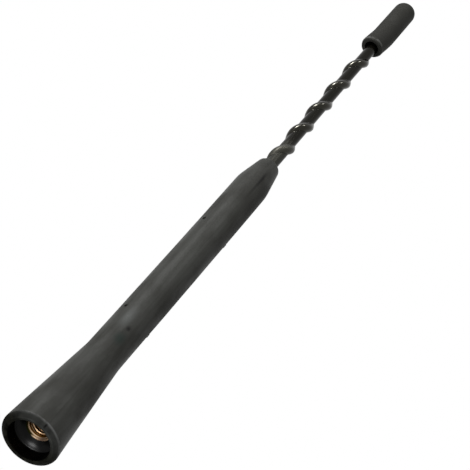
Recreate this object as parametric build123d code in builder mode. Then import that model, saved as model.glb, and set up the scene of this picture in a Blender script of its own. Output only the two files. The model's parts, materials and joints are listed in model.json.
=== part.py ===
from build123d import *
import os
from math import cos, radians, sin, tan

# Car mast aerial: a screw-on whip in a moulded rubber grip.
# Millimetres. The mast stands on its foot: the origin is the centre of the foot's end ring, +Z runs up
# the mast to the tip, and the grip's mould parts in the YZ plane.

# Whole mast
mast_length = 230.0
fit_gap = 0.03

# Rubber grip, outside: a flared foot with a bevelled lip, a long slightly tapered grip and a shoulder
foot_diameter = 17.4
lip_height = 1.3
lip_width = 1.4
flare_top = 40.3
grip_bottom_diameter = 11.05
grip_top_diameter = 9.95
shoulder_bottom = 127.9
shoulder_top = 138.9
shoulder_top_diameter = 6.5
shoulder_round = 1.3

# Recess in the foot, with a floor that funnels down to the insert
recess_diameter = 12.8
recess_mouth_chamfer = 0.25
recess_wall = 4.0
recess_depth = 5.6
recess_floor_diameter = 7.2

# Brass insert: hexagon bar, which can't turn in the rubber, with an M6 tapped hole below and
# a socket for the core above
insert_across_flats = 8.6
insert_side_count = 6
insert_length = 22.0
thread_bore_diameter = 5.0
thread_mouth_diameter = 7.1
thread_depth = 13.0
drill_point_angle = 118.0
socket_depth = 6.0

# Fibreglass core
core_diameter = 2.5

# Copper wire, straight inside the grip and wound right-handed on the whip
wire_diameter = 0.65
wire_side_count = 4
wire_tail = 3.0
winding_pitch = 12.2
winding_start_angle = -131.7

# Shrunk sleeve round the core and the wire, with a film of its glue under the wire
sleeve_wall = 0.45
glue_film = 0.1
sleeve_tuck = 4.0
ridge_flank_angle = 60.0
ridge_flat_count = 3
ridge_seam_turn = -35.0
ridge_root = 0.4

# Soft cap on the tip, which is slack round the whip at its mouth; the ridge ends short of it
cap_length = 24.1
cap_mouth_diameter = 6.8
cap_top_diameter = 6.4
cap_hollow_diameter = 4.3
cap_hollow_depth = 4.0
cap_socket_depth = 17.0
ridge_end_gap = 3.9
ridge_close = 1.0

# Radii, heights and places that follow from the sizes above
foot_radius = foot_diameter / 2
grip_bottom_radius = grip_bottom_diameter / 2
grip_top_radius = grip_top_diameter / 2
recess_radius = recess_diameter / 2
recess_floor_radius = recess_floor_diameter / 2
insert_inradius = insert_across_flats / 2
insert_bottom = recess_depth
insert_top = insert_bottom + insert_length
core_radius = core_diameter / 2
core_bottom = insert_top - socket_depth
core_bore_radius = core_radius + fit_gap
lead_bottom = insert_top - wire_tail
wire_radius = wire_diameter / 2
channel_radius = wire_radius + fit_gap
winding_radius = core_bore_radius + glue_film + channel_radius
sleeve_radius = core_bore_radius + sleeve_wall
sleeve_bottom = shoulder_top - sleeve_tuck
cap_bottom = mast_length - cap_length
cap_mouth_radius = cap_mouth_diameter / 2
cap_top_radius = cap_top_diameter / 2
whip_top = cap_bottom + cap_socket_depth
flank = radians(ridge_flank_angle)
ridge_crown = channel_radius + sleeve_wall
# Half width of the ridge at its root, where the flanks end inside the sleeve's wall
ridge_root_half = (ridge_crown + ridge_root * cos(flank)) / sin(flank)
# The winding starts below the sleeve, so that the ridge is whole where the sleeve begins
winding_bottom = sleeve_bottom - ridge_root_half
ridge_top = cap_bottom - ridge_end_gap
winding_top = ridge_top - ridge_close


def winding_path(top):
    """The winding's path on the whip, from where it starts up to a height."""
    with BuildLine(Plane.XY.offset(winding_bottom)) as winding:
        Helix(winding_pitch, top - winding_bottom, winding_radius)
    return winding.line.rotate(Axis.Z, winding_start_angle)


# The wire's path, the longer path of the ridge that closes over its end, and the plane square to both
wire_path = winding_path(winding_top)
ridge_path = winding_path(ridge_top)
winding_start = wire_path @ 0
winding_section = Plane(
    origin=winding_start,
    x_dir=(winding_start.X, winding_start.Y, 0),
    z_dir=wire_path % 0,
)


def sleeve_form(gap):
    """The sleeve's outside grown by gap, as one solid: a round tube with the spiral ridge on it."""
    crown = ridge_crown + gap
    root_y = ridge_root_half + gap / sin(flank)
    turns = [flank * (2 * step / ridge_flat_count - 1) for step in range(ridge_flat_count + 1)]
    outline = [(crown * cos(turn), crown * sin(turn)) for turn in turns]
    outline += [(-ridge_root, root_y), (-ridge_root, -root_y)]
    with BuildPart() as form:
        with BuildSketch(winding_section):
            with BuildLine():
                Polyline(*outline, close=True)
            make_face()
        sweep(path=ridge_path, is_frenet=True)
        split(bisect_by=Plane.XY.offset(sleeve_bottom), keep=Keep.TOP)
        with BuildSketch(Plane.XY.offset(sleeve_bottom).rotated((0, 0, winding_start_angle + ridge_seam_turn))):
            Circle(sleeve_radius + gap)
        extrude(amount=whip_top - sleeve_bottom)
    return form.part


# Brass insert
mouth_radius = thread_mouth_diameter / 2
bore_radius = thread_bore_diameter / 2
mouth_height = mouth_radius - bore_radius
drill_point = bore_radius / tan(radians(drill_point_angle / 2))
with BuildPart() as thread_insert:
    with BuildSketch(Plane.XY.offset(insert_bottom)):
        RegularPolygon(insert_inradius, insert_side_count, major_radius=False)
    extrude(amount=insert_length)
    with BuildSketch(Plane.XZ):
        with BuildLine():
            Polyline(
                (0, insert_bottom),
                (mouth_radius, insert_bottom),
                (bore_radius, insert_bottom + mouth_height),
                (bore_radius, insert_bottom + thread_depth),
                (0, insert_bottom + thread_depth + drill_point),
                close=True,
            )
        make_face()
    revolve(axis=Axis.Z, mode=Mode.SUBTRACT)
    with BuildSketch(Plane.XY.offset(core_bottom)):
        Circle(core_bore_radius)
    extrude(amount=socket_depth, mode=Mode.SUBTRACT)
    # Slot for the wire's tail, beside the core
    with BuildSketch(Plane.XY.offset(lead_bottom).rotated((0, 0, winding_start_angle))):
        with Locations((winding_radius / 2, 0)):
            SlotCenterToCenter(winding_radius, 2 * channel_radius)
    extrude(amount=wire_tail, mode=Mode.SUBTRACT)
thread_insert.part.label = "thread_insert"

# Fibreglass core
with BuildPart() as whip_core:
    with BuildSketch(Plane.XY.offset(core_bottom)):
        Circle(core_radius)
    extrude(amount=whip_top - core_bottom)
whip_core.part.label = "whip_core"

# Copper wire: a straight lead along the core, then the winding. It is drawn with a few flats, not round,
# because it is hidden and long.
with BuildPart() as winding_wire:
    with BuildSketch(winding_section):
        RegularPolygon(wire_radius, wire_side_count)
    sweep(path=wire_path, is_frenet=True)
    with BuildSketch(Plane.XY.offset(lead_bottom).rotated((0, 0, winding_start_angle))):
        with Locations((winding_radius, 0)):
            RegularPolygon(wire_radius, wire_side_count)
    extrude(amount=winding_bottom + wire_radius - lead_bottom)
winding_wire.part.label = "winding_wire"

# Shrunk sleeve: the outside form, less the core and the channel that the wire fills
sleeve_outside = sleeve_form(0)
with BuildPart() as whip_sleeve:
    add(sleeve_outside)
    with BuildSketch(Plane.XY.offset(sleeve_bottom)):
        Circle(core_bore_radius)
    extrude(amount=whip_top - sleeve_bottom, mode=Mode.SUBTRACT)
    with BuildSketch(winding_section):
        RegularPolygon(channel_radius, wire_side_count)
    sweep(path=wire_path, is_frenet=True, mode=Mode.SUBTRACT)
whip_sleeve.part.label = "whip_sleeve"

# Rubber grip, moulded round the insert, the core, the wire's lead and the foot of the sleeve
sleeve_pocket = sleeve_form(fit_gap)
with BuildPart() as rubber_grip:
    with BuildSketch(Plane.XZ):
        with BuildLine():
            Line((foot_radius, lip_height), (grip_bottom_radius, flare_top))
            # A straight curve, because its revolved face needs far fewer facets than a cone this long
            Bezier((grip_bottom_radius, flare_top), (grip_top_radius, shoulder_bottom))
            FilletPolyline(
                (grip_top_radius, shoulder_bottom),
                (shoulder_top_diameter / 2, shoulder_top),
                (0, shoulder_top),
                radius=shoulder_round,
            )
            Polyline((0, shoulder_top), (0, 0), (foot_radius - lip_width, 0), (foot_radius, lip_height))
        make_face()
    revolve(axis=Axis.Z)
    with BuildSketch(Plane.XZ):
        with BuildLine():
            Polyline(
                (0, 0),
                (recess_radius + recess_mouth_chamfer, 0),
                (recess_radius, recess_mouth_chamfer),
                (recess_radius, recess_wall),
                (recess_floor_radius, recess_depth),
                (0, recess_depth),
                close=True,
            )
        make_face()
    revolve(axis=Axis.Z, mode=Mode.SUBTRACT)
    with BuildSketch(Plane.XY.offset(insert_bottom)):
        RegularPolygon(insert_inradius + fit_gap, insert_side_count, major_radius=False)
    extrude(amount=insert_length + fit_gap, mode=Mode.SUBTRACT)
    with BuildSketch(Plane.XY.offset(insert_top).rotated((0, 0, winding_start_angle))):
        Circle(core_bore_radius)
        with Locations((winding_radius / 2, 0)):
            SlotCenterToCenter(winding_radius, 2 * channel_radius)
    extrude(amount=sleeve_bottom - insert_top, mode=Mode.SUBTRACT)
    # Room for the wire's bend, from its lead to its winding
    with BuildSketch(Plane.XY.offset(winding_bottom - wire_diameter)):
        Circle(winding_radius + channel_radius)
    extrude(amount=sleeve_bottom - winding_bottom + wire_diameter, mode=Mode.SUBTRACT)
    add(sleeve_pocket, mode=Mode.SUBTRACT)
rubber_grip.part.label = "rubber_grip"

# Soft cap: a tapered tube with a round end, hollow at its mouth and tight on the sleeve above
grip_radius = sleeve_radius + fit_gap
with BuildPart() as tip_cap:
    with BuildSketch(Plane.XZ):
        with BuildLine():
            CenterArc((0, mast_length - cap_top_radius), cap_top_radius, 0, 90)
            Polyline((0, mast_length), (0, cap_bottom), (cap_mouth_radius, cap_bottom))
            Bezier((cap_mouth_radius, cap_bottom), (cap_top_radius, mast_length - cap_top_radius))
        make_face()
    revolve(axis=Axis.Z)
    with BuildSketch(Plane.XY.offset(cap_bottom)):
        Circle(cap_hollow_diameter / 2)
    extrude(amount=cap_hollow_depth, mode=Mode.SUBTRACT)
    with BuildSketch(Plane.XY.offset(cap_bottom)):
        Circle(grip_radius)
    extrude(amount=cap_socket_depth + fit_gap, mode=Mode.SUBTRACT)
tip_cap.part.label = "tip_cap"

os.makedirs("parts", exist_ok=True)
for piece in (rubber_grip, thread_insert, whip_core, winding_wire, whip_sleeve, tip_cap):
    export_step(piece.part, f"parts/{piece.part.label}.step")
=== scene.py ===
import json
from math import acos, cos, degrees, hypot, pi, radians, sin, tan

import bmesh
import bpy
from mathutils import Matrix, Vector, noise


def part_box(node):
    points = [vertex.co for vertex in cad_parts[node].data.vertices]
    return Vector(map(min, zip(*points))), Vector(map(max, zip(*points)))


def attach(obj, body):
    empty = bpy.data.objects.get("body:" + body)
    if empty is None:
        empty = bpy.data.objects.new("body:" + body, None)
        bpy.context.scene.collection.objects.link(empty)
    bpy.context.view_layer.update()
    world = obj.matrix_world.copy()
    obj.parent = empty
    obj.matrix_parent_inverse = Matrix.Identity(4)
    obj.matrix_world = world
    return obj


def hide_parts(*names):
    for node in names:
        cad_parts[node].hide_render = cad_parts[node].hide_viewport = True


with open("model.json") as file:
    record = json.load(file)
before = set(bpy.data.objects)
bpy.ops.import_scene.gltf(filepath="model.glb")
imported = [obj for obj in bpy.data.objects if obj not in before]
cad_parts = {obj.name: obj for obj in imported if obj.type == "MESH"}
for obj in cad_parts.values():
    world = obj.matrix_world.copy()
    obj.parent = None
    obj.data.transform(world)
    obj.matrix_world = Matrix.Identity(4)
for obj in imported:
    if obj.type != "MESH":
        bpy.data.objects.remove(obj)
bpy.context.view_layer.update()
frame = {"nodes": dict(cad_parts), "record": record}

# Car mast aerial. Lengths are in millimetres until they go to Blender, angles are in degrees round the
# mast's axis, from +X towards +Y, and colours are linear.
MM = 0.001
FULL_TURN = 360.0
HALF_TURN = 180.0


def box_mm(node):
    """Lowest and highest corner of a CAD node, in millimetres."""
    low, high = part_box(node)
    return low / MM, high / MM


# Sizes that the frame gives
_, grip_high = box_mm("rubber_grip")
insert_low, insert_high = box_mm("thread_insert")
_, core_high = box_mm("whip_core")
sleeve_low, sleeve_high = box_mm("whip_sleeve")
cap_low, cap_high = box_mm("tip_cap")
mounts = {mount["name"]: mount for mount in frame["record"]["mounts"]}
bore_radius = mounts["thread"]["dims"]["r_mm"]
recess_radius = mounts["foot_recess"]["dims"]["r_mm"]
foot_radius = grip_high.x
core_radius = core_high.x
fit_gap = 0.03

# Grip
lip_height = 1.3
lip_width = 1.4
lip_round = 0.6
flare_top = 40.3
flare_blend = 40.0
grip_bottom_radius = 5.525
grip_top_radius = 4.975
grip_row = 4.0
shoulder_bottom = 127.9
shoulder_blend = 20.0
shoulder_top_radius = 3.25
shoulder_round = 1.3
sleeve_hole_radius = 1.9
sleeve_hole_round = 0.35
recess_mouth_chamfer = 0.25
recess_wall = 4.0
recess_corner = 0.4
recess_floor_radius = 3.8
recess_floor_bulge = 0.3
recess_floor_round = 5.0
rim_round = 0.2
seam_angles = (-90.0, 90.0)
seam_half_width = 1.2
seam_height = 0.025
pin_heights = (57.5, 103.0)
pin_angles = (-149.0, -5.0, 102.0)
pin_hole_radius = 0.36
pin_hole_depth = 0.9
pin_rim_radius = 0.66
pin_rim_height = 0.13
pin_reach = 0.9
pin_step = 0.1
wave_height = 0.05
wave_length = 14.0

# Insert
insert_across_flats = 8.6
hexagon_turn = 60.0
thread_mouth_radius = 3.75
thread_pitch = 1.0
thread_turn = 95.0
thread_root_radius = 3.05
thread_crest_share = 0.25
thread_root_share = 0.15
thread_depth = 13.0
drill_point_angle = 118.0
socket_depth = 6.0

# Sleeve, with the ridge over the wound wire
sleeve_bottom_radius = 1.8
sleeve_top_radius = 1.58
sleeve_row = 0.3
bore_row = 0.8
ridge_height = 0.8
ridge_half_width = 1.55
ridge_pitch = 12.2
ridge_place = 168.5
ridge_angle = 174.0
ridge_top = 201.5
ridge_fade = 1.0

# The mast bows a little to one side, and the cap leans to it
lean_angle = -6.0
bow_height = 0.25
bow_length = 185.0

# Cap
cap_top_radius = 3.25
cap_mouth_face_radius = 3.05
cap_bevel = 0.8
cap_hollow_radius = 2.15
cap_hollow_depth = 4.0
cap_lean_mouth = -0.28
cap_lean_body = 0.28
cap_lean_length = 8.0
cap_row = 1.0
dome_power = 0.8

# Mesh fineness
ARC_STEPS = 6
DOME_STEPS = 18
COLUMNS = 120
RIDGE_STEPS = 14
THREAD_STEPS = 12
SHARP_ANGLE = 40.0
MERGE_DISTANCE = 0.0001


def rounded(corners):
    """Points of an outline whose corners, each (radius, height, rounding), are rounded by arcs."""
    points = []
    for index, (r, z, rounding) in enumerate(corners):
        corner = Vector((r, z))
        if not rounding or index in (0, len(corners) - 1):
            points.append(corner)
            continue
        before = (Vector(corners[index - 1][:2]) - corner).normalized()
        after = (Vector(corners[index + 1][:2]) - corner).normalized()
        half = acos(max(-1.0, min(1.0, before.dot(after)))) / 2
        centre = corner + (before + after).normalized() * rounding / sin(half)
        first = (corner + before * rounding / tan(half) - centre).normalized()
        last = (corner + after * rounding / tan(half) - centre).normalized()
        for step in range(ARC_STEPS + 1):
            points.append(centre + first.slerp(last, step / ARC_STEPS) * rounding)
    return points


def spaced(start, end, step):
    """Values from start to end, both left out, about step apart."""
    count = max(1, round(abs(end - start) / step))
    return [start + (end - start) * index / count for index in range(1, count)]


def blend(start, end, share):
    """A smooth step from start to end as share goes from 0 to 1."""
    share = max(0.0, min(1.0, share))
    return start + (end - start) * share * share * (3 - 2 * share)


def ring_mesh(name, rows, columns, place):
    """A closed mesh of rows round the axis, the last of which meets the first.

    place(row, column) gives each point.
    """
    mesh = bpy.data.meshes.new(name)
    points = [Vector(place(row, column)) * MM for row in rows for column in columns]
    width = len(columns)
    faces = []
    for low in range(len(rows)):
        high = (low + 1) % len(rows)
        for left in range(width):
            right = (left + 1) % width
            corners = ((low, left), (low, right), (high, right), (high, left))
            faces.append([row * width + column for row, column in corners])
    mesh.from_pydata(points, [], faces)
    cleaned = bmesh.new()
    cleaned.from_mesh(mesh)
    bmesh.ops.remove_doubles(cleaned, verts=cleaned.verts, dist=MERGE_DISTANCE * MM)
    bmesh.ops.recalc_face_normals(cleaned, faces=cleaned.faces)
    cleaned.to_mesh(mesh)
    cleaned.free()
    mesh.shade_smooth()
    mesh.set_sharp_from_angle(angle=radians(SHARP_ANGLE))
    obj = bpy.data.objects.new(name, mesh)
    bpy.context.scene.collection.objects.link(obj)
    return obj


def around(radius, height, angle):
    """The point at that radius, height and angle."""
    return (radius * cos(radians(angle)), radius * sin(radians(angle)), height)


def turn_between(angle, other):
    """Signed angle from other to angle, between minus and plus half a turn."""
    return (angle - other + HALF_TURN) % FULL_TURN - HALF_TURN


def bow(height):
    """How far the mast's outside is bowed at that height."""
    return bow_height * sin(pi * min(height / bow_length, 1.0))


def bow_shift(height):
    """The sideways shift of the mast's outside at that height."""
    return Vector(around(bow(height), 0.0, lean_angle))


even_columns = [FULL_TURN * index / COLUMNS - HALF_TURN for index in range(COLUMNS)]


# Grip: one closed outline turned round the axis, with the mould's seams and pin marks on it
def taper_radius(height):
    """The grip's radius on its long taper."""
    share = (height - flare_top) / (shoulder_bottom - flare_top)
    return grip_bottom_radius + (grip_top_radius - grip_bottom_radius) * share


def flare_radius(height):
    """The grip's radius on its flared foot."""
    share = (height - lip_height) / (flare_top - lip_height)
    return foot_radius + (grip_bottom_radius - foot_radius) * share


pin_steps = round(pin_reach / pin_step)
pin_offsets = [pin_step * step for step in range(-pin_steps, pin_steps + 1)]
taper_heights = spaced(flare_top + grip_row, shoulder_bottom - grip_row, grip_row)
taper_heights = [z for z in taper_heights if all(abs(z - pin) > pin_reach for pin in pin_heights)]
taper_heights = sorted(taper_heights + [pin + offset for pin in pin_heights for offset in pin_offsets])
flare_heights = spaced(lip_height, flare_top - grip_row / 2, grip_row)
grip_outside = rounded(
    [
        (recess_radius, recess_mouth_chamfer, 0),
        (recess_radius + recess_mouth_chamfer, 0, rim_round),
        (foot_radius - lip_width, 0, rim_round),
        (foot_radius, lip_height, lip_round),
        *[(flare_radius(z), z, 0) for z in flare_heights],
        (grip_bottom_radius, flare_top, flare_blend),
        *[(taper_radius(z), z, 0) for z in taper_heights],
        (grip_top_radius, shoulder_bottom, shoulder_blend),
        (shoulder_top_radius, grip_high.z, shoulder_round),
        (sleeve_hole_radius, grip_high.z, sleeve_hole_round),
        (sleeve_hole_radius, sleeve_low.z, 0),
    ]
)
insert_pocket_radius = insert_across_flats / 2 / cos(radians(hexagon_turn / 2)) + fit_gap
recess_middle = (recess_floor_radius + recess_radius) / 2
recess_middle_height = (insert_low.z + recess_wall) / 2 - recess_floor_bulge
grip_inside = rounded(
    [
        (sleeve_hole_radius, insert_high.z + fit_gap, 0),
        (insert_pocket_radius, insert_high.z + fit_gap, 0),
        (insert_pocket_radius, insert_low.z, 0),
        (recess_floor_radius, insert_low.z, 0),
        (recess_middle, recess_middle_height, recess_floor_round),
        (recess_radius, recess_wall, recess_corner),
        (recess_radius, recess_wall / 2, 0),
    ]
)
pin_turn = degrees(pin_step / taper_radius(sum(pin_heights) / len(pin_heights)))
grip_columns = sorted(
    {*even_columns}
    | {seam + side for seam in seam_angles for side in (-seam_half_width, seam_half_width)}
    | {pin + pin_turn * step for pin in pin_angles for step in range(-pin_steps, pin_steps + 1)}
)


def pin_mark(distance):
    """Height of a pin's mark: a small hole with a raised rim."""
    if distance < pin_hole_radius:
        return -pin_hole_depth
    crest = (pin_hole_radius + pin_rim_radius) / 2
    if distance < crest:
        rise = (distance - pin_hole_radius) / (crest - pin_hole_radius)
        return blend(-pin_hole_depth, pin_rim_height, rise)
    return blend(pin_rim_height, 0.0, (distance - crest) / (pin_rim_radius - crest))


def grip_lift(radius, height, angle):
    """How far the grip's outside stands off its outline."""
    lift = wave_height * noise.noise(Vector(around(radius, height, angle)) / wave_length)
    lift += bow(height) * cos(radians(turn_between(angle, lean_angle)))
    if any(abs(turn_between(angle, seam)) < seam_half_width / 2 for seam in seam_angles):
        lift += seam_height
    for pin_height in pin_heights:
        if abs(height - pin_height) <= pin_reach:
            for pin_angle in pin_angles:
                across = radians(turn_between(angle, pin_angle)) * radius
                lift += pin_mark(hypot(across, height - pin_height))
    return lift


def grip_place(row, angle):
    """A point of the grip."""
    radius, height, outside = row
    if outside:
        radius += grip_lift(radius, height, angle)
    return around(radius, height, angle)


grip_rows = [(r, z, r > recess_radius or z > recess_wall) for r, z in grip_outside]
grip_rows += [(r, z, False) for r, z in grip_inside]
grip = ring_mesh("grip", grip_rows, grip_columns, grip_place)

# Insert: hexagon bar with a threaded hole
thread_start = insert_low.z + thread_mouth_radius - thread_root_radius
thread_top = insert_low.z + thread_depth
drill_point = bore_radius / tan(radians(drill_point_angle / 2))
thread_heights = spaced(thread_start, thread_top, thread_pitch / THREAD_STEPS)


def hexagon_radius(angle):
    """Distance from the axis to the hexagon's side at that angle."""
    side = round(angle / hexagon_turn - 1 / 2) * hexagon_turn + hexagon_turn / 2
    return insert_across_flats / 2 / cos(radians(angle - side))


def thread_radius(height, angle):
    """The threaded hole's wall: a right-handed thread, cut back by the mouth's chamfer."""
    turns = height / thread_pitch - (angle - thread_turn) / FULL_TURN
    phase = abs(turns % 1 - 1 / 2) * 2
    share = (phase - thread_crest_share) / (1 - thread_crest_share - thread_root_share)
    radius = bore_radius + (thread_root_radius - bore_radius) * max(0.0, min(1.0, share))
    return max(radius, thread_mouth_radius - (height - insert_low.z))


def insert_place(row, angle):
    """A point of the insert."""
    kind, radius, height = row
    if kind == "hexagon":
        radius = hexagon_radius(angle)
    if kind == "thread":
        radius = thread_radius(height, angle)
    return around(radius, height, angle)


insert_rows = [("round", thread_mouth_radius, insert_low.z)]
insert_rows += [("thread", None, z) for z in thread_heights]
insert_rows += [
    ("round", bore_radius, thread_top),
    ("round", 0.0, thread_top + drill_point),
    ("round", 0.0, insert_high.z - socket_depth),
    ("round", core_radius + fit_gap, insert_high.z - socket_depth),
    ("round", core_radius + fit_gap, insert_high.z),
    ("hexagon", None, insert_high.z),
    ("hexagon", None, insert_low.z),
]
insert = ring_mesh("insert", insert_rows, even_columns, insert_place)

# Sleeve: a slightly tapered tube with the spiral ridge. Its columns turn with the ridge, so that they
# follow it.
ridge_slope = ridge_pitch / (pi * (sleeve_bottom_radius + sleeve_top_radius))
ridge_across = 1 / hypot(1, ridge_slope)
ridge_half_turn = FULL_TURN * ridge_half_width / (ridge_pitch * ridge_across)
ridge_columns = [ridge_half_turn * step / RIDGE_STEPS for step in range(-RIDGE_STEPS, RIDGE_STEPS + 1)]
tube_columns = spaced(ridge_half_turn, FULL_TURN - ridge_half_turn, FULL_TURN / COLUMNS)


def tube_radius(height):
    """The sleeve's radius beside the ridge."""
    share = (height - grip_high.z) / (cap_low.z - grip_high.z)
    return sleeve_bottom_radius + (sleeve_top_radius - sleeve_bottom_radius) * share


def sleeve_place(row, turn):
    """A point of the sleeve; turn is the angle from the ridge's crest. Outside rows have no radius."""
    radius, height = row
    shift = Vector()
    if radius is None:
        shift = bow_shift(height)
        radius = tube_radius(height)
        fade = blend(1.0, 0.0, (height - ridge_top) / ridge_fade)
        if abs(turn) < ridge_half_turn:
            radius += fade * ridge_height * cos(pi / 2 * turn / ridge_half_turn)
    angle = turn + ridge_angle + FULL_TURN * (height - ridge_place) / ridge_pitch
    return shift + Vector(around(radius, height, angle))


outside_heights = [sleeve_low.z, *spaced(sleeve_low.z, sleeve_high.z, sleeve_row), sleeve_high.z]
bore_heights = [sleeve_high.z, *spaced(sleeve_high.z, sleeve_low.z, bore_row), sleeve_low.z]
sleeve_rows = [(None, z) for z in outside_heights]
sleeve_rows += [(core_radius + fit_gap, z) for z in bore_heights]
sleeve = ring_mesh("sleeve", sleeve_rows, ridge_columns + tube_columns, sleeve_place)

# Cap: a soft tube with a bevelled mouth and a round end, which sits a little askew
dome_height = cap_high.z - cap_top_radius
cap_side_low = cap_low.z + cap_bevel
cap_socket_radius = sleeve_top_radius + fit_gap


def cap_side_radius(height):
    """The cap's radius on its side."""
    share = (height - cap_low.z) / (dome_height - cap_low.z)
    return cap_high.x + (cap_top_radius - cap_high.x) * share


def dome(share):
    """A length on the cap's round end, which is a little squarer than a ball."""
    return cap_top_radius * max(share, 0.0) ** dome_power


dome_turns = [radians(FULL_TURN / 4 * step / DOME_STEPS) for step in range(1, DOME_STEPS + 1)]
cap_rows = rounded(
    [
        (cap_hollow_radius, cap_low.z + rim_round, 0),
        (cap_mouth_face_radius, cap_low.z, rim_round),
        (cap_side_radius(cap_side_low), cap_side_low, lip_round),
        *[(cap_side_radius(z), z, 0) for z in spaced(cap_side_low, dome_height, cap_row)],
        (cap_top_radius, dome_height, 0),
        *[(dome(cos(turn)), dome_height + dome(sin(turn)), 0) for turn in dome_turns],
        (0.0, sleeve_high.z + fit_gap, 0),
        (cap_socket_radius, sleeve_high.z + fit_gap, 0),
        (cap_socket_radius, cap_low.z + cap_hollow_depth, 0),
        (cap_hollow_radius, cap_low.z + cap_hollow_depth, 0),
    ]
)


def cap_place(row, angle):
    """A point of the cap."""
    radius, height = row
    lean = blend(cap_lean_mouth, cap_lean_body, (height - cap_low.z) / cap_lean_length)
    return Vector(around(radius, height, angle)) + Vector(around(lean, 0.0, lean_angle))


cap = ring_mesh("cap", cap_rows, even_columns, cap_place)

# Materials. A blotch begins at the first of these values of the noise, and is full at the second.
BLOTCH_SPAN = (0.35, 0.65)
EVEN = (1.0, 1.0, 1.0)


class Material:
    """A new material of one shader, and short ways to feed its inputs."""

    def __init__(self, name, **values):
        self.data = bpy.data.materials.new(name)
        self.data.use_nodes = True
        self.nodes = self.data.node_tree.nodes
        self.links = self.data.node_tree.links
        self.shader = self.nodes["Principled BSDF"]
        self.place = self.nodes.new("ShaderNodeTexCoord").outputs["Object"]
        for socket, value in values.items():
            self.shader.inputs[socket.replace("_", " ")].default_value = value

    def link(self, output, node, socket):
        """Feeds output to a socket of node."""
        self.links.new(output, node.inputs[socket])

    def feed(self, socket, output):
        """Feeds output to the shader."""
        self.link(output, self.shader, socket)

    def mapped(self, kind="POINT", **values):
        """The place on the object, through a mapping."""
        node = self.nodes.new("ShaderNodeMapping")
        node.vector_type = kind
        for socket, value in values.items():
            node.inputs[socket].default_value = value
        self.link(self.place, node, "Vector")
        return node.outputs["Vector"]

    def noise(self, size, detail, stretch=EVEN):
        """Noise with features about size millimetres across, stretched along the axes."""
        node = self.nodes.new("ShaderNodeTexNoise")
        node.inputs["Scale"].default_value = 1 / (size * MM)
        node.inputs["Detail"].default_value = detail
        self.link(self.mapped(Scale=[1 / factor for factor in stretch]), node, "Vector")
        return node.outputs["Fac"]

    def ramp(self, value, start, end, low=0.0, high=1.0):
        """Goes smoothly from start to end as value goes from low to high."""
        node = self.nodes.new("ShaderNodeMapRange")
        node.interpolation_type = "SMOOTHSTEP"
        self.link(value, node, "Value")
        node.inputs["From Min"].default_value = low
        node.inputs["From Max"].default_value = high
        node.inputs["To Min"].default_value = start
        node.inputs["To Max"].default_value = end
        return node.outputs["Result"]

    def blotch(self, size, detail, stretch=EVEN, least=0.0):
        """Blotches of noise: 1 in them, and least between them."""
        return self.ramp(self.noise(size, detail, stretch), least, 1.0, *BLOTCH_SPAN)

    def product(self, first, second):
        """Two values multiplied."""
        node = self.nodes.new("ShaderNodeMath")
        node.operation = "MULTIPLY"
        self.link(first, node, 0)
        self.link(second, node, 1)
        return node.outputs["Value"]

    def length(self, vector):
        """A vector's length."""
        node = self.nodes.new("ShaderNodeVectorMath")
        node.operation = "LENGTH"
        self.link(vector, node, 0)
        return node.outputs["Value"]

    def distance(self):
        """Distance from the mast's axis, in millimetres."""
        return self.length(self.mapped(Scale=(1 / MM, 1 / MM, 0.0)))

    def height(self):
        """Height on the mast, in millimetres."""
        node = self.nodes.new("ShaderNodeSeparateXYZ")
        self.link(self.mapped(Scale=(0.0, 0.0, 1 / MM)), node, 0)
        return node.outputs["Z"]

    def spot(self, place, size):
        """1 in the middle of a spot and 0 from its rim outwards; size gives its half sizes."""
        inside = self.mapped("TEXTURE", Location=Vector(place) * MM, Scale=Vector(size) * MM)
        return self.ramp(self.length(inside), 1.0, 0.0)

    def line(self, value, middle, half_width):
        """1 where value is at middle, fading to 0 at half_width from it."""
        rising = self.ramp(value, 0.0, 1.0, middle - half_width, middle)
        falling = self.ramp(value, 1.0, 0.0, middle, middle + half_width)
        return self.product(rising, falling)

    def colour(self, share, first, second):
        """Mixes two colours, or mixes of colours, by share."""
        node = self.nodes.new("ShaderNodeMix")
        node.data_type = "RGBA"
        self.link(share, node, "Factor")
        for socket, value in (("A", first), ("B", second)):
            port = next(port for port in node.inputs if port.name == socket and port.type == "RGBA")
            if isinstance(value, bpy.types.NodeSocket):
                self.links.new(value, port)
            else:
                port.default_value = (*value, 1.0)
        return next(port for port in node.outputs if port.type == "RGBA")

    def edge_painted_highlight(self, finish, edge, tint, size=3.0, least=0.15):
        """Paints a highlight along an edge in another colour, more in some places than in others."""
        share = self.product(edge, self.blotch(size, detail=3.0, least=least))
        return self.colour(share, finish, tint)

    def bump(self, height, depth):
        """Raises the surface by up to depth millimetres."""
        node = self.nodes.new("ShaderNodeBump")
        node.inputs["Distance"].default_value = depth * MM
        self.link(height, node, "Height")
        self.feed("Normal", node.outputs["Normal"])


def paint(obj, *materials):
    """Gives obj these materials, and the first of them to all its faces."""
    obj.data.materials.clear()
    for material in materials:
        obj.data.materials.append(material.data)


# Rubber of the grip: plain and dusty blotches with streaks along the mast, and a painted highlight along
# the lip
plain_streaks = ((0.0155, 0.0155, 0.0135), (0.0195, 0.0195, 0.0175))
dusty_streaks = ((0.022, 0.0225, 0.02), (0.028, 0.0285, 0.026))
# A pale line along the lip, on the grip and on the foot's end: painted highlight
lip_highlight_width = 0.45
lip_painted_highlight = (0.07, 0.071, 0.069)
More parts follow.
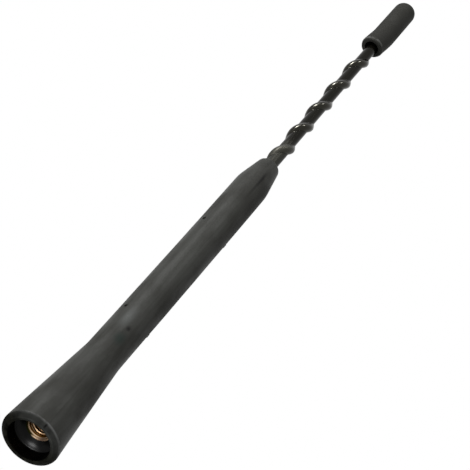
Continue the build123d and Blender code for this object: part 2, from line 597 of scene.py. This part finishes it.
# Marks on the grip: height, angle, half sizes and colour
grip_marks = {
    # A lighter patch on the grip's highlight band: painted highlight
    "painted highlight patch": (52.8, -114.0, (2.4, 2.4, 7.0), (0.042, 0.044, 0.042)),
    "dark smear": (44.5, -92.0, (2.6, 2.6, 3.8), (0.0095, 0.0135, 0.0115)),
    "chip": (49.3, -92.0, (1.0, 1.0, 1.6), (0.002, 0.002, 0.002)),
    # A near-black line along the seam at the shoulder: painted shade
    "painted shade line at the shoulder seam": (132.0, -84.5, (0.7, 0.7, 17.0), (0.001, 0.001, 0.001)),
}
rubber = Material("grip_rubber", Specular_IOR_Level=0.06)
dust = rubber.blotch(size=8.0, detail=5.0, stretch=(1.0, 1.0, 2.0))
streak = rubber.blotch(size=1.1, detail=3.0, stretch=(1.0, 1.0, 14.0))
finish = rubber.colour(dust, rubber.colour(streak, *plain_streaks), rubber.colour(streak, *dusty_streaks))
for height, angle, size, tint in grip_marks.values():
    mark = rubber.spot(around(taper_radius(height), height, angle), size)
    finish = rubber.colour(mark, finish, tint)
# Painted highlight along the lip
finish = rubber.edge_painted_highlight(finish, rubber.line(rubber.height(), lip_height, lip_highlight_width), lip_painted_highlight)
rubber.feed("Base Color", finish)
rubber.feed("Roughness", rubber.ramp(dust, start=0.6, end=0.44))
rubber.bump(rubber.noise(size=4.0, detail=2.0, stretch=(1.0, 1.0, 4.0)), depth=0.012)

# The foot's end is darker and dull, its two edges carry a painted highlight, and its far side is painted
# near black as painted shade
end_smudges = ((0.014, 0.0145, 0.0135), (0.021, 0.0215, 0.02))
ring_radius = foot_radius - lip_width
# A pale line round the edge of the end's flat ring: painted highlight
ring_highlight_width = 0.3
ring_painted_highlight = (0.03, 0.031, 0.029)
# A black mark where the seam crosses the lip: painted shade of a notch that has no shape here
notch_place = around(foot_radius - lip_width / 2, lip_height / 2, seam_angles[0])
notch_size = (0.5, 1.2, 1.2)
notch_painted_shade = (0.003, 0.003, 0.003)
# A near-black area over the end's far side: painted shade
far_side_shade_place = around(foot_radius, height=0.0, angle=94.0)
far_side_shade_size = (26.0, 22.0, 6.0)
far_side_painted_shade = ((0.001, 0.001, 0.0006), (0.006, 0.006, 0.0045))
end = Material("foot_rubber", Specular_IOR_Level=0.012)
smudge = end.blotch(size=2.5, detail=4.0, stretch=(1.0, 1.0, 1.5))
finish = end.colour(smudge, *end_smudges)
# Painted highlights along the lip and round the ring
finish = end.edge_painted_highlight(finish, end.line(end.height(), lip_height, lip_highlight_width), lip_painted_highlight)
finish = end.edge_painted_highlight(finish, end.line(end.distance(), ring_radius, ring_highlight_width), ring_painted_highlight)
# Painted shade of the notch
finish = end.colour(end.spot(notch_place, notch_size), finish, notch_painted_shade)
# Painted shade over the far side, which covers the painted highlights there too
far_side_shade = end.ramp(end.spot(far_side_shade_place, far_side_shade_size), 0.0, 1.0, low=0.1, high=0.5)
end.feed("Base Color", end.colour(far_side_shade, finish, end.colour(smudge, *far_side_painted_shade)))
end.feed("Roughness", end.ramp(smudge, start=0.6, end=0.75))
end.bump(end.noise(size=0.8, detail=3.0), depth=0.01)

# The recess is clean and glossy, and painted near black as painted shade of the hollow
recess_painted_shade = ((0.0004, 0.0004, 0.0004), (0.001, 0.001, 0.0009))
shaded_pit = Material("recess_rubber_painted_shade", Specular_IOR_Level=0.065)
smudge = shaded_pit.blotch(size=2.0, detail=4.0)
shaded_pit.feed("Base Color", shaded_pit.colour(smudge, *recess_painted_shade))
shaded_pit.feed("Roughness", shaded_pit.ramp(smudge, start=0.27, end=0.33))
shaded_pit.bump(shaded_pit.noise(size=0.7, detail=3.0), depth=0.003)

paint(grip, rubber, end, shaded_pit)
end_slot, shaded_pit_slot = 1, 2
# Faces inside the recess take the painted shade, and faces below the lip take the foot's end
for face in grip.data.polygons:
    middle = face.center / MM
    if middle.z < insert_low.z + fit_gap and hypot(middle.x, middle.y) < recess_radius + fit_gap:
        face.material_index = shaded_pit_slot
    elif middle.z < lip_height:
        face.material_index = end_slot

# Rubber of the cap, with a painted highlight round its mouth
cap_smudges = ((0.004, 0.004, 0.0034), (0.006, 0.006, 0.0052))
mouth_highlight_width = 0.5
mouth_painted_highlight = (0.06, 0.061, 0.059)
soft = Material("cap_rubber", Specular_IOR_Level=0.16, Specular_Tint=(1.0, 0.99, 0.9, 1.0))
smudge = soft.blotch(size=4.0, detail=5.0)
mouth_edge = soft.line(soft.height(), cap_side_low, mouth_highlight_width)
finish = soft.edge_painted_highlight(soft.colour(smudge, *cap_smudges), mouth_edge, mouth_painted_highlight, size=2.0, least=0.0)
soft.feed("Base Color", finish)
soft.feed("Roughness", soft.ramp(smudge, start=0.66, end=0.76))
soft.bump(soft.noise(size=0.5, detail=3.0), depth=0.008)
paint(cap, soft)

# Plastic of the sleeve. The ridge, which is stretched over the wire, is glossier than the tube.
sleeve_blacks = ((0.001, 0.0009, 0.0005), (0.002, 0.0018, 0.0012))
sleeve_dust = (0.012, 0.012, 0.01)
dust_roughness = 0.42
dust_low = grip_high.z + 7.0
dust_high = grip_high.z + 15.0
ridge_gloss_height = 0.08


def sleeve_material(name, level, roughness):
    """Gloss black plastic, on which dust has settled above the shoulder."""
    gloss = Material(name, Specular_IOR_Level=level, Specular_Tint=(1.0, 0.97, 0.8, 1.0))
    black = gloss.colour(gloss.blotch(size=3.0, detail=4.0), *sleeve_blacks)
    dusty = gloss.ramp(gloss.height(), 1.0, 0.0, dust_low, dust_high)
    gloss.feed("Base Color", gloss.colour(dusty, black, sleeve_dust))
    gloss.feed("Roughness", gloss.ramp(dusty, roughness, dust_roughness))
    return gloss


paint(
    sleeve,
    sleeve_material("sleeve_plastic", level=0.11, roughness=0.14),
    sleeve_material("ridge_plastic", level=0.28, roughness=0.17),
)
ridge_slot = 1
for face in sleeve.data.polygons:
    middle = face.center / MM
    middle -= bow_shift(middle.z)
    if hypot(middle.x, middle.y) > tube_radius(middle.z) + ridge_gloss_height:
        face.material_index = ridge_slot

# Brass of the insert, with painted shade in the thread's grooves and deep in the hole. Round its mouth it
# has a thin brown ring, and it is painted darker on two sides as painted shade.
clean_brass = ((0.44, 0.33, 0.22), (0.36, 0.25, 0.155))
# Painted shade in the thread's grooves and deeper in the hole
groove_painted_shade = (0.045, 0.017, 0.001)
groove_inner = thread_root_radius - 0.2
groove_outer = thread_root_radius + 0.1
deep_painted_shade = (0.03, 0.019, 0.01)
deep_low = insert_low.z + 2.2
deep_high = insert_low.z + 2.7
# Near black on one side of the chamfer: painted shade
chamfer_painted_shade = (0.008, 0.009, 0.002)
chamfer_shade_place = around(thread_mouth_radius, insert_low.z, angle=127.0)
chamfer_shade_size = (4.5, 4.5, 4.5)
chamfer_shade_inner = 3.25
chamfer_shade_outer = 3.45
# A thin brown ring round the mouth
mouth_ring_brown = (0.05, 0.03, 0.01)
mouth_ring_radius = 3.4
mouth_ring_half_width = 0.14
# A dim side round the mouth: painted shade over the reflections
dim_painted_shade = (0.1, 0.065, 0.045)
dim_place = around(thread_mouth_radius, insert_low.z, angle=42.0)
dim_size = (3.2, 3.2, 4.0)
brass = Material("insert_brass", Metallic=1.0)
tarnish = brass.blotch(size=1.5, detail=5.0)
from_axis = brass.distance()
groove_shade = brass.product(
    brass.ramp(from_axis, 0.0, 1.0, bore_radius, groove_inner),
    brass.ramp(from_axis, 1.0, 0.0, thread_root_radius, groove_outer),
)
chamfer_shade = brass.product(
    brass.ramp(brass.spot(chamfer_shade_place, chamfer_shade_size), 0.0, 1.0, low=0.15, high=0.6),
    brass.ramp(from_axis, 0.0, 1.0, chamfer_shade_inner, chamfer_shade_outer),
)
finish = brass.colour(tarnish, *clean_brass)
# Painted shade deep in the hole
finish = brass.colour(brass.ramp(brass.height(), 0.0, 1.0, deep_low, deep_high), finish, deep_painted_shade)
# Painted shade on one side of the chamfer
finish = brass.colour(chamfer_shade, finish, chamfer_painted_shade)
finish = brass.colour(brass.line(from_axis, mouth_ring_radius, mouth_ring_half_width), finish, mouth_ring_brown)
# Painted shade on the dim side
finish = brass.colour(brass.spot(dim_place, dim_size), finish, dim_painted_shade)
# Painted shade in the thread's grooves
brass.feed("Base Color", brass.colour(groove_shade, finish, groove_painted_shade))
brass.feed("Roughness", brass.ramp(tarnish, start=0.4, end=0.5))
brass.bump(brass.noise(size=0.25, detail=2.0, stretch=(6.0, 6.0, 0.5)), depth=0.004)
paint(insert, brass)

# Glass fibre of the core, with strands along it
fibre_strands = ((0.62, 0.6, 0.46), (0.76, 0.74, 0.62))
fibre = Material("core_fibreglass", Roughness=0.45)
strand = fibre.blotch(size=0.3, detail=3.0, stretch=(1.0, 1.0, 40.0))
fibre.feed("Base Color", fibre.colour(strand, *fibre_strands))
fibre.bump(strand, depth=0.02)
paint(frame["nodes"]["whip_core"], fibre)

# Copper of the wire
copper_tones = ((0.78, 0.4, 0.24), (0.62, 0.28, 0.15))
copper = Material("wire_copper", Metallic=1.0)
tarnish = copper.blotch(size=0.8, detail=4.0)
copper.feed("Base Color", copper.colour(tarnish, *copper_tones))
copper.feed("Roughness", copper.ramp(tarnish, start=0.28, end=0.42))
paint(frame["nodes"]["winding_wire"], copper)

for piece, node, slot in (
    (grip, "rubber_grip", "grip_rubber"),
    (insert, "thread_insert", "insert_brass"),
    (sleeve, "whip_sleeve", "sleeve_plastic"),
    (cap, "tip_cap", "cap_rubber"),
):
    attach(piece, "root")
    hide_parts(node)

# Camera: it looks up at the foot from below, and puts the foot and the tip on the photograph's pixels
IMAGE_SIZE = 470
SENSOR = 36.0
FOCAL_PIXELS = 4613.4
CLIP_NEAR = 50.0
CLIP_FAR = 50000.0
eye_distance = 1200.0
eye_tilt = 47.5
front_angle = -96.0
foot_pixel = (28.14, 440.92)
tip_pixel = (402.02, 14.32)
tip_height = 226.5
away = Vector(around(sin(radians(eye_tilt)), cos(radians(eye_tilt)), front_angle + HALF_TURN))
eye = -eye_distance * away
tip_point = Vector((0.0, 0.0, tip_height))


def pixel_ray(pixel):
    """Direction of a pixel in the camera's own axes."""
    x, y = pixel
    return Vector((x - IMAGE_SIZE / 2, IMAGE_SIZE / 2 - y, -FOCAL_PIXELS))


def axes(first, second):
    """A square frame on two directions, as columns."""
    x = first.normalized()
    z = first.cross(second).normalized()
    return Matrix((x, z.cross(x), z)).transposed()


seen = axes(pixel_ray(foot_pixel), pixel_ray(tip_pixel))
wanted = axes(-eye, tip_point - eye)
camera = bpy.data.objects.new("camera", bpy.data.cameras.new("camera"))
camera.data.sensor_width = SENSOR
camera.data.lens = SENSOR * FOCAL_PIXELS / IMAGE_SIZE
camera.data.clip_start = CLIP_NEAR * MM
camera.data.clip_end = CLIP_FAR * MM
camera.matrix_world = Matrix.Translation(eye * MM) @ (wanted @ seen.transposed()).to_4x4()
bpy.context.scene.collection.objects.link(camera)
bpy.context.scene.camera = camera


# Lamps: each one stands in a direction, by angle and elevation, from a height on the mast
def lamp(name, height, angle, elevation, distance, size, power):
    """A soft lamp that looks at the mast's axis."""
    data = bpy.data.lights.new(name, "AREA")
    data.shape = "DISK"
    data.size = size * MM
    data.energy = power
    obj = bpy.data.objects.new(name, data)
    towards = Vector(around(cos(radians(elevation)), sin(radians(elevation)), angle))
    obj.location = (Vector((0.0, 0.0, height)) + towards * distance) * MM
    obj.rotation_euler = towards.to_track_quat("Z", "Y").to_euler()
    obj.visible_camera = False
    bpy.context.scene.collection.objects.link(obj)


far = 1200.0
near = 400.0
whip_middle = (grip_high.z + cap_low.z) / 2
lamp("left key", whip_middle, angle=-143.0, elevation=20.0, distance=far, size=250.0, power=16.0)
lamp("right key", whip_middle, angle=-94.0, elevation=36.0, distance=far, size=160.0, power=5.0)
lamp("near", height=45.0, angle=-142.0, elevation=42.5, distance=near, size=180.0, power=0.5)
lamp("foot", height=0.0, angle=-157.0, elevation=-72.5, distance=far, size=300.0, power=19.0)

# World and floor: white to the camera and in reflections, a dim grey light to everything else
AMBIENT = 0.45
WHITE = (1.0, 1.0, 1.0, 1.0)
FLOOR_HEIGHT = -4000.0
FLOOR_SIZE = 24000.0
FLOOR_GREY = (0.8, 0.8, 0.8, 1.0)
FLOOR_GLOW = 0.7


def seen_ray(nodes, links):
    """1 for rays that show the background: the camera's, reflections and what is seen through."""
    path = nodes.new("ShaderNodeLightPath")
    total = path.outputs["Is Camera Ray"]
    for name in ("Is Glossy Ray", "Is Transmission Ray"):
        node = nodes.new("ShaderNodeMath")
        node.operation = "MAXIMUM"
        links.new(total, node.inputs[0])
        links.new(path.outputs[name], node.inputs[1])
        total = node.outputs["Value"]
    return total


world = bpy.data.worlds.new("world")
world.use_nodes = True
bpy.context.scene.world = world
sky = world.node_tree.nodes
sky_links = world.node_tree.links
brightness = sky.new("ShaderNodeMapRange")
brightness.inputs["To Min"].default_value = AMBIENT
brightness.inputs["To Max"].default_value = 1.0
sky_links.new(seen_ray(sky, sky_links), brightness.inputs["Value"])
sky["Background"].inputs["Color"].default_value = WHITE
sky_links.new(brightness.outputs["Result"], sky["Background"].inputs["Strength"])

floor_mesh = bpy.data.meshes.new("floor")
half_floor = FLOOR_SIZE / 2
floor_sides = ((-1, -1), (1, -1), (1, 1), (-1, 1))
floor_corners = [Vector((x * half_floor, y * half_floor, FLOOR_HEIGHT)) * MM for x, y in floor_sides]
floor_mesh.from_pydata(floor_corners, [], [(0, 1, 2, 3)])
floor = bpy.data.objects.new("floor", floor_mesh)
bpy.context.scene.collection.objects.link(floor)
pale = Material("floor", Roughness=0.9, Specular_IOR_Level=0.0, Base_Color=FLOOR_GREY, Emission_Color=WHITE)
pale.feed("Emission Strength", pale.ramp(seen_ray(pale.nodes, pale.links), 0.0, FLOOR_GLOW))
paint(floor, pale)

bpy.context.scene.view_settings.view_transform = "Standard"
